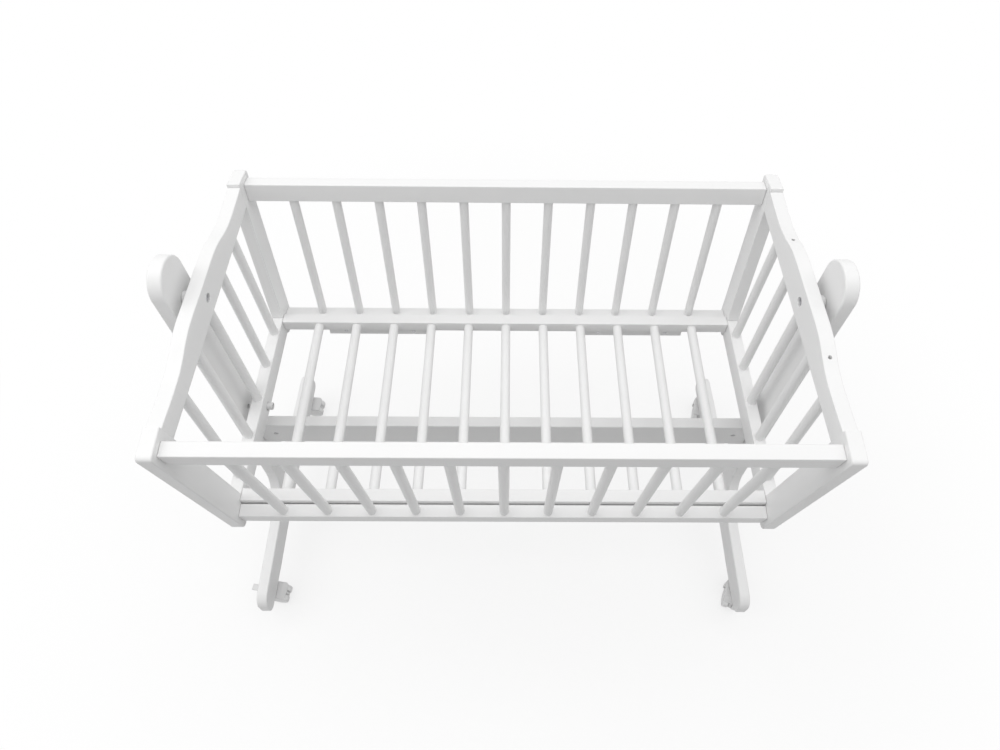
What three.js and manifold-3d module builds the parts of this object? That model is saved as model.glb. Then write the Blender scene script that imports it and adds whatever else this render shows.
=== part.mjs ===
// Swinging crib with slatted sides on a castored stand.
// Millimetres, +Z up, X along the crib, origin on the floor below its middle.
// Two end panels and two leaning side panels make the cradle. It hangs between
// the heads of two uprights, which a stretcher joins and two feet carry.
import * as THREE from 'three';
import { mergeVertices } from 'three/addons/utils/BufferGeometryUtils.js';
import Module from 'manifold-3d';

const wasm = await Module();
wasm.setup();

// Bed space
const bedLength = 900; // clear length between the end panels
const bedWidth = 400; // clear width between the side panels at the base
const baseHeight = 457; // floor to the top of the side bottom rails
const sideLean = THREE.MathUtils.degToRad(7.2); // outward lean of the sides and posts

// Clearances
const jointGap = 0.3; // between glued, bolted or stacked faces
const runningGap = 0.3; // between a pin and its bore, all round

// Round bars
const barDiameter = 16; // spindles
const barSides = 12;
const socketDepth = 10; // how far a bar goes into its rail
const sideSpindleCount = 11;
const endSpindleCount = 5;
const endSpindleMargin = 35.7; // post's face to the outer spindle's axis
const baseSlatCount = 11;
const baseSlatDiameter = 18;
const baseSlatMargin = 72.5; // end panel to the outer slat's axis

// Side panels
const sideRailThickness = 22;
const sideTopRailHeight = 35;
const sideBottomRailHeight = 32;
const sidePanelHeight = 323; // bottom rail top to top rail top, along the lean

// Corner posts
const postThickness = 22;
const postWidth = 46.5;
const postInset = 26; // post's inner face inboard of the side panel's middle
const postProud = 11.5; // middle of the post's cap above the side top rail
const postDrop = 13; // post's foot below the side bottom rail
const postFootRadius = 11;
const postCapRadius = 6; // on the outer side only

// End panels
const endRailThickness = 22;
const endTopRailHeight = 55.5; // at the crest
const crestRise = 11.5; // above the posts' caps
const edgeStep = 3.5; // top edge beside the posts, below their caps
const waveStep = 5.5; // lowest part of the wave, below the posts' caps
const crestHalfWidth = 52;
const waveInset = 61; // post's face to the lowest part of the wave
const endBottomRailTop = 10; // above the base height
const endBottomRailHeight = 43;
const rodHoleDiameter = 6; // two holes in the right end's top edge
const rodHoleSpacing = 224;
const rodHoleDepth = 20;

// Base frame
const baseRailWidth = 22;
const baseRailHeight = 26;
const baseRise = 9.5; // base frame's top above the base height
const baseEndGap = 0.5; // between the base rails and the end panels
const cleatLength = 207;
const cleatThickness = 17;
const cleatHeight = 17;
const cleatInset = 88; // cleat's end from the end panel
const screwPitch = 138; // along one cleat
const screwDiameter = 4;
const screwHeadDiameter = 8;
const screwHeadDepth = 3;
const screwReach = 12; // beyond the cleat, into the rail

// Pivot
const pivotBelowCrest = 27;
const pivotBoltDiameter = 10;
const pivotHeadDiameter = 20;
const pivotHeadDepth = 4;
const pivotReach = 18; // into the end panel
const pivotMouthDiameter = 15; // room for the bolt's nut, in the end panel's inner face
const pivotMouthDepth = 9;
const spacerDiameter = 22;
const spacerLength = 15; // between the end panel and the upright
const fixingSides = 16;

// Stand
const uprightThickness = 22;
const uprightWidth = 74; // where it stands on the foot
const waistWidth = 65;
const headWidth = 79;
const waistBelowPivot = 153;
const shoulderBelowPivot = 38; // from here up the head has its full width
const headAbovePivot = 79;
const footThickness = 22;
const footReach = 277; // half the foot's length
const footHeight = 60; // at its ends
const footDroop = 7; // fall of the top edge from hub to tip
const footArch = 7; // rise of the bottom edge at the middle
const footToeRadius = 28;
const footHeelCut = 8;
const hubFilletRadius = 92;
const hubNeck = 3; // straight part of the hub above its fillets
const stretcherTop = 380;
const stretcherHeight = 70;
const stretcherThickness = 22;
const stretcherBoltDiameter = 8;
const stretcherBoltTip = 8; // past the barrel nut
const barrelNutDiameter = 10;
const barrelNutInset = 30; // from the stretcher's end
const barrelNutDepth = 18;

// Locking pin
const lockPinDiameter = 8;
const lockPinBelowBase = 19;
const lockPinTipGap = 2; // from the upright
const lockKnobDiameter = 14;
const lockKnobLength = 13.5;
const lockKnobGap = 0.5; // from the floor of its mouth in the end panel
const lockMouthDiameter = 17;
const lockMouthDepth = 4;
const lockSocketDiameter = 12; // sleeve in the upright
const lockBossDiameter = 14; // closed end of the socket, outside the upright
const lockBossLength = 20;

// Castors
const castorInset = 49; // swivel axis from the foot's tip
const castorTrail = 13; // swivel axis to axle
const wheelDiameter = 40;
const wheelWidth = 12;
const wheelEdge = 2.5; // chamfer round each rim
const wheelSides = 20;
const wheelGap = 1; // beside the housing's web
const webThickness = 6;
const axleDiameter = 6;
const axleBossDiameter = 18;
const hoodGap = 1.6; // between rim and hood
const hoodThickness = 2.6;
const hoodCrown = 1.5; // flat top above the hood's curve
const hoodWidth = 36;
const hoodFrontReach = 21; // open edge over the wheels, from the swivel axis
const hoodBackReach = 25;
const hoodBackBottom = 13; // above the floor
const hoodFrontRadius = 6; // corners seen from above
const hoodBackRadius = 14;
const hoodSegments = 8;
const stemDiameter = 8;
const stemHeight = 32; // inside the foot
const collarDiameter = 20;
const collarHeight = 4;
const bossDiameter = 16;
const pedalWidth = 13;
const pedalThickness = 3.6;
const pedalReach = 22; // beyond its pivot
const pedalPinDiameter = 4.4;
const pedalPinHeight = 35;
const pedalPinOffset = 1; // behind the hood
const earThickness = 3;
const pedalRoom = 9; // slot behind and above the pedal's pin
// direction in which each castor trails
const castorAngles = {
  front_left: THREE.MathUtils.degToRad(-8),
  front_right: THREE.MathUtils.degToRad(-109),
  back_left: THREE.MathUtils.degToRad(-4),
  back_right: THREE.MathUtils.degToRad(-104),
};

// Places worked out from the sizes
const throughCut = 1; // how far a cut runs past a face
const sideOffset = bedWidth / 2 + sideRailThickness / 2;
const postCap = sidePanelHeight * Math.cos(sideLean) + postProud; // above the base height
const crest = postCap + crestRise;
const endTopRailUnderside = crest - endTopRailHeight;
const pivotHeight = baseHeight + crest - pivotBelowCrest;
const lockPinHeight = baseHeight - lockPinBelowBase;
const endInner = bedLength / 2;
const endMiddle = endInner + endRailThickness / 2;
const endOuter = endInner + endRailThickness;
const uprightInner = endOuter + spacerLength;
const uprightMiddle = uprightInner + uprightThickness / 2;
const uprightOuter = uprightInner + uprightThickness;
const uprightTop = pivotHeight + headAbovePivot;
const wheelRadius = wheelDiameter / 2;
const hoodInner = wheelRadius + hoodGap;
const hoodOuter = hoodInner + hoodThickness;
const housingTop = wheelRadius + hoodOuter + hoodCrown;
const castorHeight = housingTop + collarHeight + jointGap; // floor to foot
const footTop = castorHeight + footHeight;
const hubTop = footTop + footDroop + hubFilletRadius + hubNeck;
const baseBottom = baseRise - baseRailHeight; // from the base height
const baseOuter = bedWidth / 2 + baseBottom * Math.tan(sideLean) - jointGap;
const slatHeight = baseHeight + baseRise - baseRailHeight / 2;
const stretcherMiddle = stretcherTop - stretcherHeight / 2;
const castorY = footReach - castorInset;
const cleatOffset = endInner - cleatInset - cleatLength / 2; // cleat's middle from the crib's middle

// Geometry helpers

function bar(diameter, length, sides) {
  // upright bar from z = 0
  const shape = new THREE.CylinderGeometry(diameter / 2, diameter / 2, length, sides);
  return shape.rotateX(Math.PI / 2).translate(0, 0, length / 2);
}

function barAlongX(diameter, length, sides) {
  return bar(diameter, length, sides).rotateY(Math.PI / 2);
}

function barAlongY(diameter, length, sides) {
  return bar(diameter, length, sides).rotateX(-Math.PI / 2);
}

function block(low, high) {
  const size = high.map((value, axis) => value - low[axis]);
  const middle = high.map((value, axis) => (value + low[axis]) / 2);
  return new THREE.BoxGeometry(...size).translate(...middle);
}

function plate(outline, thickness, curveSegments = 8) {
  // outline in (y, z), extruded along X about x = 0
  const settings = { depth: thickness, bevelEnabled: false, curveSegments };
  const shape = new THREE.ExtrudeGeometry(outline, settings).translate(0, 0, -thickness / 2);
  return shape.rotateY(Math.PI / 2).rotateX(Math.PI / 2);
}

function toSolid(geometry) {
  const bare = geometry.clone();
  bare.deleteAttribute('normal');
  bare.deleteAttribute('uv');
  const surface = mergeVertices(bare, 1e-4);
  return new wasm.Manifold(new wasm.Mesh({
    numProp: 3,
    vertProperties: new Float32Array(surface.attributes.position.array),
    triVerts: new Uint32Array(surface.index.array),
  }));
}

function toGeometry(solid) {
  const mesh = solid.getMesh();
  const geometry = new THREE.BufferGeometry();
  geometry.setAttribute('position', new THREE.BufferAttribute(mesh.vertProperties, 3));
  geometry.setIndex(new THREE.BufferAttribute(mesh.triVerts, 1));
  return geometry;
}

function drilled(geometry, drills) {
  let solid = toSolid(geometry);
  for (const drill of drills) {
    solid = solid.subtract(toSolid(drill));
  }
  return toGeometry(solid);
}

function joined(geometries) {
  let solid = toSolid(geometries[0]);
  for (const other of geometries.slice(1)) {
    solid = solid.add(toSolid(other));
  }
  return toGeometry(solid);
}

function shared(one, other) {
  return toGeometry(toSolid(one).intersect(toSolid(other)));
}

function atEnd(geometry, sign) {
  // built for the left end with +X inwards; sign 1 turns it to the right end
  return sign < 0 ? geometry : geometry.rotateZ(Math.PI);
}

function evenPlaces(count, pitch) {
  const places = [];
  for (let i = 0; i < count; i += 1) {
    places.push((i - (count - 1) / 2) * pitch);
  }
  return places;
}

function piece(parent, name, geometry, material) {
  const mesh = new THREE.Mesh(geometry, material);
  mesh.name = name;
  parent.add(mesh);
}

// Materials

function paint() {
  return new THREE.MeshStandardMaterial({ color: 0xf6f6f5, roughness: 0.42, metalness: 0 });
}

function whitePlastic() {
  return new THREE.MeshStandardMaterial({ color: 0xf1f1f0, roughness: 0.5, metalness: 0 });
}

function steel() {
  return new THREE.MeshStandardMaterial({ color: 0xb9babd, roughness: 0.35, metalness: 0.9 });
}

const crib = new THREE.Group();
const stand = new THREE.Group();
const cradle = new THREE.Group();
crib.add(stand, cradle);
const endNames = [[-1, 'left'], [1, 'right']];
const sidePlaces = evenPlaces(sideSpindleCount, bedLength / (sideSpindleCount + 1));

// Side panels, each built upright in a frame that leans outwards

function leaningFrame(facing) {
  // +Y outwards from the panel's middle; facing 1 is the back panel, -1 the front one
  const frame = new THREE.Group();
  const lean = new THREE.Matrix4().makeRotationX(-sideLean);
  lean.setPosition(0, sideOffset, baseHeight);
  frame.applyMatrix4(new THREE.Matrix4().makeRotationZ(facing > 0 ? 0 : Math.PI).multiply(lean));
  cradle.add(frame);
  return frame;
}

function alongLean(level, y) {
  // height in the leaning frame of a level above the base height
  return (level + y * Math.sin(sideLean)) / Math.cos(sideLean);
}

function socket() {
  // hole for a spindle's end, upwards from z = 0
  const depth = socketDepth + jointGap + throughCut;
  return bar(barDiameter + 2 * runningGap, depth, barSides).translate(0, 0, -throughCut);
}

function sideRail(top, height, drills) {
  const end = endInner - jointGap;
  const half = sideRailThickness / 2;
  return drilled(block([-end, -half, top - height], [end, half, top]), drills);
}

function sideTopRail() {
  const underside = sidePanelHeight - sideTopRailHeight;
  const sockets = sidePlaces.map((x) => socket().translate(x, 0, underside));
  return sideRail(sidePanelHeight, sideTopRailHeight, sockets);
}

const cleatBack = -sideRailThickness / 2 - jointGap;
const cleatFront = cleatBack - cleatThickness;
const cleatTop = baseBottom - jointGap;
const cleatBottom = alongLean(cleatTop, cleatFront) - cleatHeight;
const screwHeight = alongLean(cleatTop, cleatFront) - cleatHeight / 2;

function screwHole(x) {
  // countersunk in the cleat and on into the rail
  const reach = cleatThickness + jointGap + screwReach;
  const shank = barAlongY(screwDiameter, reach, barSides);
  const neck = screwDiameter / 2;
  const rim = screwHeadDiameter / 2;
  const head = new THREE.CylinderGeometry(neck, rim, screwHeadDepth, barSides);
  head.translate(0, screwHeadDepth / 2, 0);
  const mouth = barAlongY(screwHeadDiameter, throughCut, barSides).translate(0, -throughCut, 0);
  return joined([shank, head, mouth]).translate(x, cleatFront, screwHeight);
}

function screwHoles(cleatMiddle) {
  return evenPlaces(2, screwPitch).map((x) => screwHole(cleatMiddle + x));
}

function sideBottomRail() {
  const sockets = sidePlaces.map((x) => socket().rotateX(Math.PI).translate(x, 0, 0));
  const holes = [...screwHoles(-cleatOffset), ...screwHoles(cleatOffset)];
  return sideRail(0, sideBottomRailHeight, [...sockets, ...holes]);
}

function sideSpindle(x) {
  const length = sidePanelHeight - sideTopRailHeight + 2 * socketDepth;
  return bar(barDiameter, length, barSides).translate(x, 0, -socketDepth);
}

function cleat(middle) {
  const outline = new THREE.Shape();
  outline.moveTo(cleatFront, cleatBottom);
  outline.lineTo(cleatBack, cleatBottom);
  outline.lineTo(cleatBack, alongLean(cleatTop, cleatBack));
  outline.lineTo(cleatFront, alongLean(cleatTop, cleatFront));
  outline.closePath();
  return drilled(plate(outline, cleatLength).translate(middle, 0, 0), screwHoles(middle));
}

function postOutline() {
  const inner = -postInset;
  const outer = postWidth - postInset;
  const bottom = -sideBottomRailHeight - postDrop;
  const r = postFootRadius;
  const s = postCapRadius;
  const top = alongLean(postCap, (inner + outer) / 2); // cut square to the post
  const outline = new THREE.Shape();
  outline.moveTo(inner, top);
  outline.lineTo(inner, bottom + r);
  outline.absarc(inner + r, bottom + r, r, Math.PI, 1.5 * Math.PI, false);
  outline.absarc(outer - r, bottom + r, r, 1.5 * Math.PI, 2 * Math.PI, false);
  outline.lineTo(outer, top - s);
  outline.quadraticCurveTo(outer, top, outer - s, top);
  outline.closePath();
  return outline;
}

function post(sign) {
  return plate(postOutline(), postThickness, 4).translate(sign * (endInner + postThickness / 2), 0, 0);
}

for (const [facing, sideName] of [[-1, 'front'], [1, 'back']]) {
  const frame = leaningFrame(facing);
  piece(frame, `${sideName}_top_rail`, sideTopRail(), paint());
  piece(frame, `${sideName}_bottom_rail`, sideBottomRail(), paint());
  sidePlaces.forEach((x, index) => {
    // counted from the left end on both sides
    const number = facing > 0 ? index + 1 : sidePlaces.length - index;
    piece(frame, `${sideName}_spindle_${number}`, sideSpindle(x), paint());
  });
  for (const [sign, endName] of endNames) {
    // the front frame is turned half round, so its left end is at +X
    piece(frame, `${sideName}_${endName}_post`, post(sign * facing), paint());
    piece(frame, `${sideName}_${endName}_cleat`, cleat(sign * facing * cleatOffset), paint());
  }
}

// End panels, between the posts

function postFaceY(level) {
  // where a rail's end meets the post, at a level above the base height
  const faceY = sideOffset - postInset * Math.cos(sideLean);
  const faceLevel = postInset * Math.sin(sideLean);
  return faceY + (level - faceLevel) * Math.tan(sideLean) - jointGap;
}

const endPitch = 2 * (postFaceY(endBottomRailTop) - endSpindleMargin) / (endSpindleCount - 1);
const endPlaces = evenPlaces(endSpindleCount, endPitch);

function endTopRailOutline() {
  // the top edge dips beside the posts and rises to a flat crest over the pivot
  const under = baseHeight + endTopRailUnderside;
  const edge = baseHeight + postCap - edgeStep;
  const low = baseHeight + postCap - waveStep;
  const high = baseHeight + crest;
  const footY = postFaceY(endTopRailUnderside);
  const edgeY = postFaceY(postCap - edgeStep);
  const lowY = edgeY - waveInset;
  const slopeY = (lowY + crestHalfWidth) / 2;
  const tailY = (edgeY + lowY) / 2;
  const outline = new THREE.Shape();
  outline.moveTo(-footY, under);
  outline.lineTo(footY, under);
  outline.lineTo(edgeY, edge);
  outline.quadraticCurveTo(tailY, low, lowY, low);
  outline.bezierCurveTo(slopeY, low, slopeY, high, crestHalfWidth, high);
  outline.lineTo(-crestHalfWidth, high);
  outline.bezierCurveTo(-slopeY, high, -slopeY, low, -lowY, low);
  outline.quadraticCurveTo(-tailY, low, -edgeY, edge);
  outline.closePath();
  return outline;
}

function endTopRail(sign) {
  const body = plate(endTopRailOutline(), endRailThickness, 8).translate(sign * endMiddle, 0, 0);
  const drills = [atEnd(pivotBore(), sign), atEnd(pivotMouth(), sign)];
  for (const y of endPlaces) {
    drills.push(socket().translate(sign * endMiddle, y, baseHeight + endTopRailUnderside));
  }
  if (sign > 0) {
    const bottom = baseHeight + postCap - waveStep - rodHoleDepth;
    for (const y of evenPlaces(2, rodHoleSpacing)) {
      const hole = bar(rodHoleDiameter, baseHeight + crest + throughCut - bottom, barSides);
      drills.push(hole.translate(endMiddle, y, bottom));
    }
  }
  return drilled(body, drills);
}

function endGrille(sign) {
  // the bottom rail with its spindles glued in, which plug into the top rail
  const top = endBottomRailTop;
  const bottom = top - endBottomRailHeight;
  const outline = new THREE.Shape();
  outline.moveTo(-postFaceY(bottom), baseHeight + bottom);
  outline.lineTo(postFaceY(bottom), baseHeight + bottom);
  outline.lineTo(postFaceY(top), baseHeight + top);
  outline.lineTo(-postFaceY(top), baseHeight + top);
  outline.closePath();
  const rail = plate(outline, endRailThickness).translate(sign * endMiddle, 0, 0);
  const length = endTopRailUnderside - top + 2 * socketDepth;
  const spindles = endPlaces.map((y) => {
    return bar(barDiameter, length, barSides).translate(sign * endMiddle, y, baseHeight + top - socketDepth);
  });
  const grille = joined([rail, ...spindles]);
  return sign < 0 ? drilled(grille, [lockPinBore(), lockMouth()]) : grille;
}

// Base frame: two rails and the slats let into them, lying on the cleats

function baseFrame() {
  const half = bedLength / 2 - baseEndGap;
  const inner = baseOuter - baseRailWidth;
  const bottom = baseHeight + baseBottom;
  const top = baseHeight + baseRise;
  const reach = inner + socketDepth;
  const pitch = (bedLength - 2 * baseSlatMargin) / (baseSlatCount - 1);
  const slats = evenPlaces(baseSlatCount, pitch).map((x) => {
    return barAlongY(baseSlatDiameter, 2 * reach, barSides).translate(x, -reach, slatHeight);
  });
  const front = block([-half, -baseOuter, bottom], [half, -inner, top]);
  const back = block([-half, inner, bottom], [half, baseOuter, top]);
  return joined([front, ...slats, back]);
}

// Pivots: a bolt through each upright and its spacer into the end panel

function pivotBore() {
  const length = uprightOuter - endInner + 2 * throughCut;
  const bore = barAlongX(pivotBoltDiameter + 2 * runningGap, length, fixingSides);
  return bore.translate(-uprightOuter - throughCut, 0, pivotHeight);
}

function pivotMouth() {
  const mouth = barAlongX(pivotMouthDiameter, pivotMouthDepth + throughCut, fixingSides);
  return mouth.translate(-endInner - pivotMouthDepth, 0, pivotHeight);
}

function pivotBolt() {
  const length = uprightThickness + spacerLength + pivotReach;
  const shank = barAlongX(pivotBoltDiameter, length, fixingSides).translate(-uprightOuter, 0, 0);
  const head = barAlongX(pivotHeadDiameter, pivotHeadDepth, fixingSides);
  head.translate(-uprightOuter - jointGap - pivotHeadDepth, 0, 0);
  const neck = barAlongX(pivotBoltDiameter, 2 * jointGap, fixingSides);
  neck.translate(-uprightOuter - 1.5 * jointGap, 0, 0);
  return joined([head, neck, shank]).translate(0, 0, pivotHeight);
}

function pivotSpacer() {
  const length = spacerLength - 2 * jointGap;
  const body = barAlongX(spacerDiameter, length, fixingSides);
  body.translate(jointGap - uprightInner, 0, pivotHeight);
  return drilled(body, [pivotBore()]);
}

// Locking pin, which ends short of the upright

function lockPinBore() {
  const length = uprightOuter - endInner + 2 * throughCut;
  const bore = barAlongX(lockPinDiameter + 2 * runningGap, length, fixingSides);
  return bore.translate(-uprightOuter - throughCut, 0, lockPinHeight);
}

function lockMouth() {
  const mouth = barAlongX(lockMouthDiameter, lockMouthDepth + throughCut, fixingSides);
  return mouth.translate(-endInner - lockMouthDepth, 0, lockPinHeight);
}

function lockPin() {
  const tip = lockPinTipGap - uprightInner;
  const knobFace = lockKnobGap - lockMouthDepth - endInner;
  const shaft = barAlongX(lockPinDiameter, knobFace - tip + lockKnobLength / 2, fixingSides);
  const knob = barAlongX(lockKnobDiameter, lockKnobLength, fixingSides);
  return joined([shaft.translate(tip, 0, lockPinHeight), knob.translate(knobFace, 0, lockPinHeight)]);
}

function lockSocketSleeve(diameter) {
  const length = uprightThickness + jointGap + lockBossLength / 2;
  return barAlongX(diameter, length, fixingSides).translate(-uprightOuter - length + uprightThickness, 0, 0);
}

function lockSocket() {
  // sleeve through the left upright, with a boss on the outer face
  const boss = barAlongX(lockBossDiameter, lockBossLength, fixingSides);
  boss.translate(-uprightOuter - jointGap - lockBossLength, 0, 0);
  const body = joined([boss, lockSocketSleeve(lockSocketDiameter)]).translate(0, 0, lockPinHeight);
  return drilled(body, [lockPinBore()]);
}

function lockSocketBore() {
  const bore = barAlongX(lockSocketDiameter + 2 * runningGap, uprightThickness + 2 * throughCut, fixingSides);
  return bore.translate(-uprightOuter - throughCut, 0, lockPinHeight);
}

for (const [sign, endName] of endNames) {
  piece(cradle, `${endName}_end_top_rail`, endTopRail(sign), paint());
  piece(cradle, `${endName}_end_grille`, endGrille(sign), paint());
  piece(stand, `${endName}_pivot_bolt`, atEnd(pivotBolt(), sign), steel());
  piece(stand, `${endName}_pivot_spacer`, atEnd(pivotSpacer(), sign), whitePlastic());
}
piece(cradle, 'base_frame', baseFrame(), paint());
piece(cradle, 'lock_pin', lockPin(), whitePlastic());
piece(stand, 'lock_socket', lockSocket(), whitePlastic());

// Stand

function stretcherBoltHole() {
  // through the upright into the stretcher, past the barrel nut
  const length = uprightThickness + jointGap + barrelNutInset + stretcherBoltTip + throughCut;
  const hole = barAlongX(stretcherBoltDiameter, length, fixingSides);
  return hole.translate(-uprightOuter - throughCut, 0, stretcherMiddle);
}

function stretcher() {
  const end = uprightInner - jointGap;
  const half = stretcherThickness / 2;
  const bottom = stretcherTop - stretcherHeight;
  const drills = [];
  for (const [sign] of endNames) {
    drills.push(atEnd(stretcherBoltHole(), sign));
    const nutHole = barAlongY(barrelNutDiameter, barrelNutDepth + throughCut, fixingSides);
    drills.push(nutHole.translate(sign * (end - barrelNutInset), -half - throughCut, stretcherMiddle));
  }
  return drilled(block([-end, -half, bottom], [end, half, stretcherTop]), drills);
}

function uprightOutline() {
  // narrow at the waist, with a round head
  const foot = uprightWidth / 2;
  const waist = waistWidth / 2;
  const head = headWidth / 2;
  const bottom = hubTop + jointGap;
  const waistLevel = pivotHeight - waistBelowPivot;
  const shoulder = pivotHeight - shoulderBelowPivot;
  const bendLevel = (waistLevel + shoulder) / 2;
  const lowBend = (bottom + waistLevel) / 2;
  const outline = new THREE.Shape();
  outline.moveTo(-foot, bottom);
  outline.lineTo(foot, bottom);
  outline.quadraticCurveTo(waist, lowBend, waist, waistLevel);
  outline.bezierCurveTo(waist, bendLevel, head, bendLevel, head, shoulder);
  outline.absarc(0, uprightTop - head, head, 0, Math.PI, false);
  outline.lineTo(-head, shoulder);
  outline.bezierCurveTo(-head, bendLevel, -waist, bendLevel, -waist, waistLevel);
  outline.quadraticCurveTo(-waist, lowBend, -foot, bottom);
  return outline;
}

function upright(sign) {
  const body = plate(uprightOutline(), uprightThickness, 12).translate(sign * uprightMiddle, 0, 0);
  const drills = [atEnd(pivotBore(), sign), atEnd(stretcherBoltHole(), sign)];
  if (sign < 0) {
    drills.push(lockSocketBore());
  }
  return drilled(body, drills);
}

function footOutline() {
  const half = uprightWidth / 2;
  const root = footTop + footDroop;
  const r = hubFilletRadius;
  const toe = footToeRadius;
  const bottom = castorHeight;
  const arch = castorHeight + footArch;
  const archY = footReach - 2 * castorInset;
  const outline = new THREE.Shape();
  outline.moveTo(half, hubTop);
  outline.lineTo(half, root + r);
  outline.absarc(half + r, root + r, r, Math.PI, 1.5 * Math.PI, false);
  outline.lineTo(footReach - toe, footTop);
  outline.absarc(footReach - toe, footTop - toe, toe, Math.PI / 2, 0, true);
  outline.lineTo(footReach, bottom + footHeelCut);
  outline.lineTo(footReach - footHeelCut, bottom);
  outline.lineTo(archY, bottom);
  outline.quadraticCurveTo(archY / 2, arch, 0, arch);
  outline.quadraticCurveTo(-archY / 2, arch, -archY, bottom);
  outline.lineTo(footHeelCut - footReach, bottom);
  outline.lineTo(-footReach, bottom + footHeelCut);
  outline.lineTo(-footReach, footTop - toe);
  outline.absarc(toe - footReach, footTop - toe, toe, Math.PI, Math.PI / 2, true);
  outline.lineTo(-half - r, root);
  outline.absarc(-half - r, root + r, r, 1.5 * Math.PI, 2 * Math.PI, false);
  outline.lineTo(-half, hubTop);
  outline.closePath();
  return outline;
}

function foot(sign) {
  const body = plate(footOutline(), footThickness, 8).translate(sign * uprightMiddle, 0, 0);
  const holes = [-castorY, castorY].map((y) => {
    const hole = bar(stemDiameter + 2 * runningGap, stemHeight + jointGap + throughCut, fixingSides);
    return hole.translate(sign * uprightMiddle, y, castorHeight - throughCut);
  });
  return drilled(body, holes);
}

for (const [sign, endName] of endNames) {
  piece(stand, `${endName}_upright`, upright(sign), paint());
  piece(stand, `${endName}_foot`, foot(sign), paint());
}
piece(stand, 'stretcher', stretcher(), paint());

// Castors, each built round its swivel axis with its axle towards +X

const wheelInner = webThickness / 2 + wheelGap;
const wheelOuter = wheelInner + wheelWidth;
const pedalPinX = -hoodBackReach - pedalPinOffset;

function alongAxle(geometry) {
  return geometry.translate(castorTrail, 0, wheelRadius);
}

function hoodBlank() {
  // side view of the hood over both wheels, whose room is cut out of it afterwards
  const top = wheelRadius + hoodOuter;
  const bend = hoodBackReach / 2;
  const outline = new THREE.Shape();
  outline.moveTo(hoodFrontReach, wheelRadius);
  outline.lineTo(hoodFrontReach, top - hoodCrown);
  outline.quadraticCurveTo(castorTrail, top, 0, top);
  outline.bezierCurveTo(-bend, top, -hoodBackReach, top - bend, -hoodBackReach, wheelRadius);
  outline.lineTo(-hoodBackReach, hoodBackBottom);
  outline.lineTo(castorTrail - wheelRadius, hoodBackBottom);
  outline.closePath();
  const settings = { depth: hoodWidth, bevelEnabled: false, curveSegments: hoodSegments };
  const blank = new THREE.ExtrudeGeometry(outline, settings).translate(0, 0, -hoodWidth / 2);
  return blank.rotateX(Math.PI / 2);
}

function hoodPlan() {
  // view of the hood from above, with rounded corners
  const half = hoodWidth / 2;
  const front = hoodFrontReach;
  const back = -hoodBackReach;
  const r = hoodFrontRadius;
  const s = hoodBackRadius;
  const outline = new THREE.Shape();
  outline.moveTo(front, r - half);
  outline.lineTo(front, half - r);
  outline.absarc(front - r, half - r, r, 0, Math.PI / 2, false);
  outline.absarc(back + s, half - s, s, Math.PI / 2, Math.PI, false);
  outline.absarc(back + s, s - half, s, Math.PI, 1.5 * Math.PI, false);
  outline.absarc(front - r, r - half, r, 1.5 * Math.PI, 2 * Math.PI, false);
  outline.closePath();
  const settings = { depth: housingTop, bevelEnabled: false, curveSegments: hoodSegments };
  return new THREE.ExtrudeGeometry(outline, settings);
}

function wheelRoom(side) {
  const length = hoodWidth / 2;
  const start = side > 0 ? webThickness / 2 : -webThickness / 2 - length;
  return alongAxle(barAlongY(2 * hoodInner, length, wheelSides).translate(0, start, 0));
}

function pedalEar(side) {
  const inner = pedalWidth / 2 + runningGap;
  const y = side * (inner + earThickness / 2);
  const half = earThickness / 2;
  const reach = pedalPinDiameter;
  return block(
    [pedalPinX - reach, y - half, pedalPinHeight - reach],
    [pedalPinX + 3 * reach, y + half, pedalPinHeight + reach],
  );
}

function pedalSlot() {
  const half = pedalWidth / 2 + runningGap;
  return block(
    [pedalPinX - 2 * pedalRoom, -half, pedalPinHeight - pedalRoom],
    [pedalPinX + pedalPinDiameter / 2 + jointGap, half, pedalPinHeight + pedalRoom],
  );
}

function housing(braked) {
  // hood, web, swivel collar and stem
  const bossBottom = wheelRadius + hoodInner / 2;
  const collarTop = housingTop + collarHeight;
  const solids = [
    shared(hoodBlank(), hoodPlan()),
    alongAxle(barAlongY(axleBossDiameter, webThickness, fixingSides).translate(0, -webThickness / 2, 0)),
    bar(bossDiameter, housingTop - bossBottom, fixingSides).translate(0, 0, bossBottom),
    bar(collarDiameter, collarHeight, fixingSides).translate(0, 0, housingTop),
    bar(stemDiameter, stemHeight + 2 * jointGap, fixingSides).translate(0, 0, collarTop - jointGap),
  ];
  const axleBore = barAlongY(axleDiameter + 2 * runningGap, 2 * webThickness, fixingSides);
  const drills = [alongAxle(axleBore.translate(0, -webThickness, 0)), wheelRoom(-1), wheelRoom(1)];
  if (braked) {
    solids.push(pedalEar(-1), pedalEar(1));
    const length = pedalWidth + 2 * (earThickness + runningGap + throughCut);
    const pinHole = barAlongY(pedalPinDiameter + 2 * runningGap, length, fixingSides);
    drills.push(pinHole.translate(pedalPinX, -length / 2, pedalPinHeight), pedalSlot());
  }
  return drilled(joined(solids), drills);
}

function wheelProfile() {
  const rim = wheelRadius - wheelEdge;
  return [
    new THREE.Vector2(0, wheelInner),
    new THREE.Vector2(rim, wheelInner),
    new THREE.Vector2(wheelRadius, wheelInner + wheelEdge),
    new THREE.Vector2(wheelRadius, wheelOuter - wheelEdge),
    new THREE.Vector2(rim, wheelOuter),
    new THREE.Vector2(0, wheelOuter),
  ];
}

function wheelPair() {
  const wheel = () => new THREE.LatheGeometry(wheelProfile(), wheelSides);
  const axle = barAlongY(axleDiameter, 2 * (wheelInner + wheelEdge), fixingSides);
  axle.translate(0, -wheelInner - wheelEdge, 0);
  return alongAxle(joined([wheel(), axle, wheel().rotateX(Math.PI)]));
}

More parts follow.
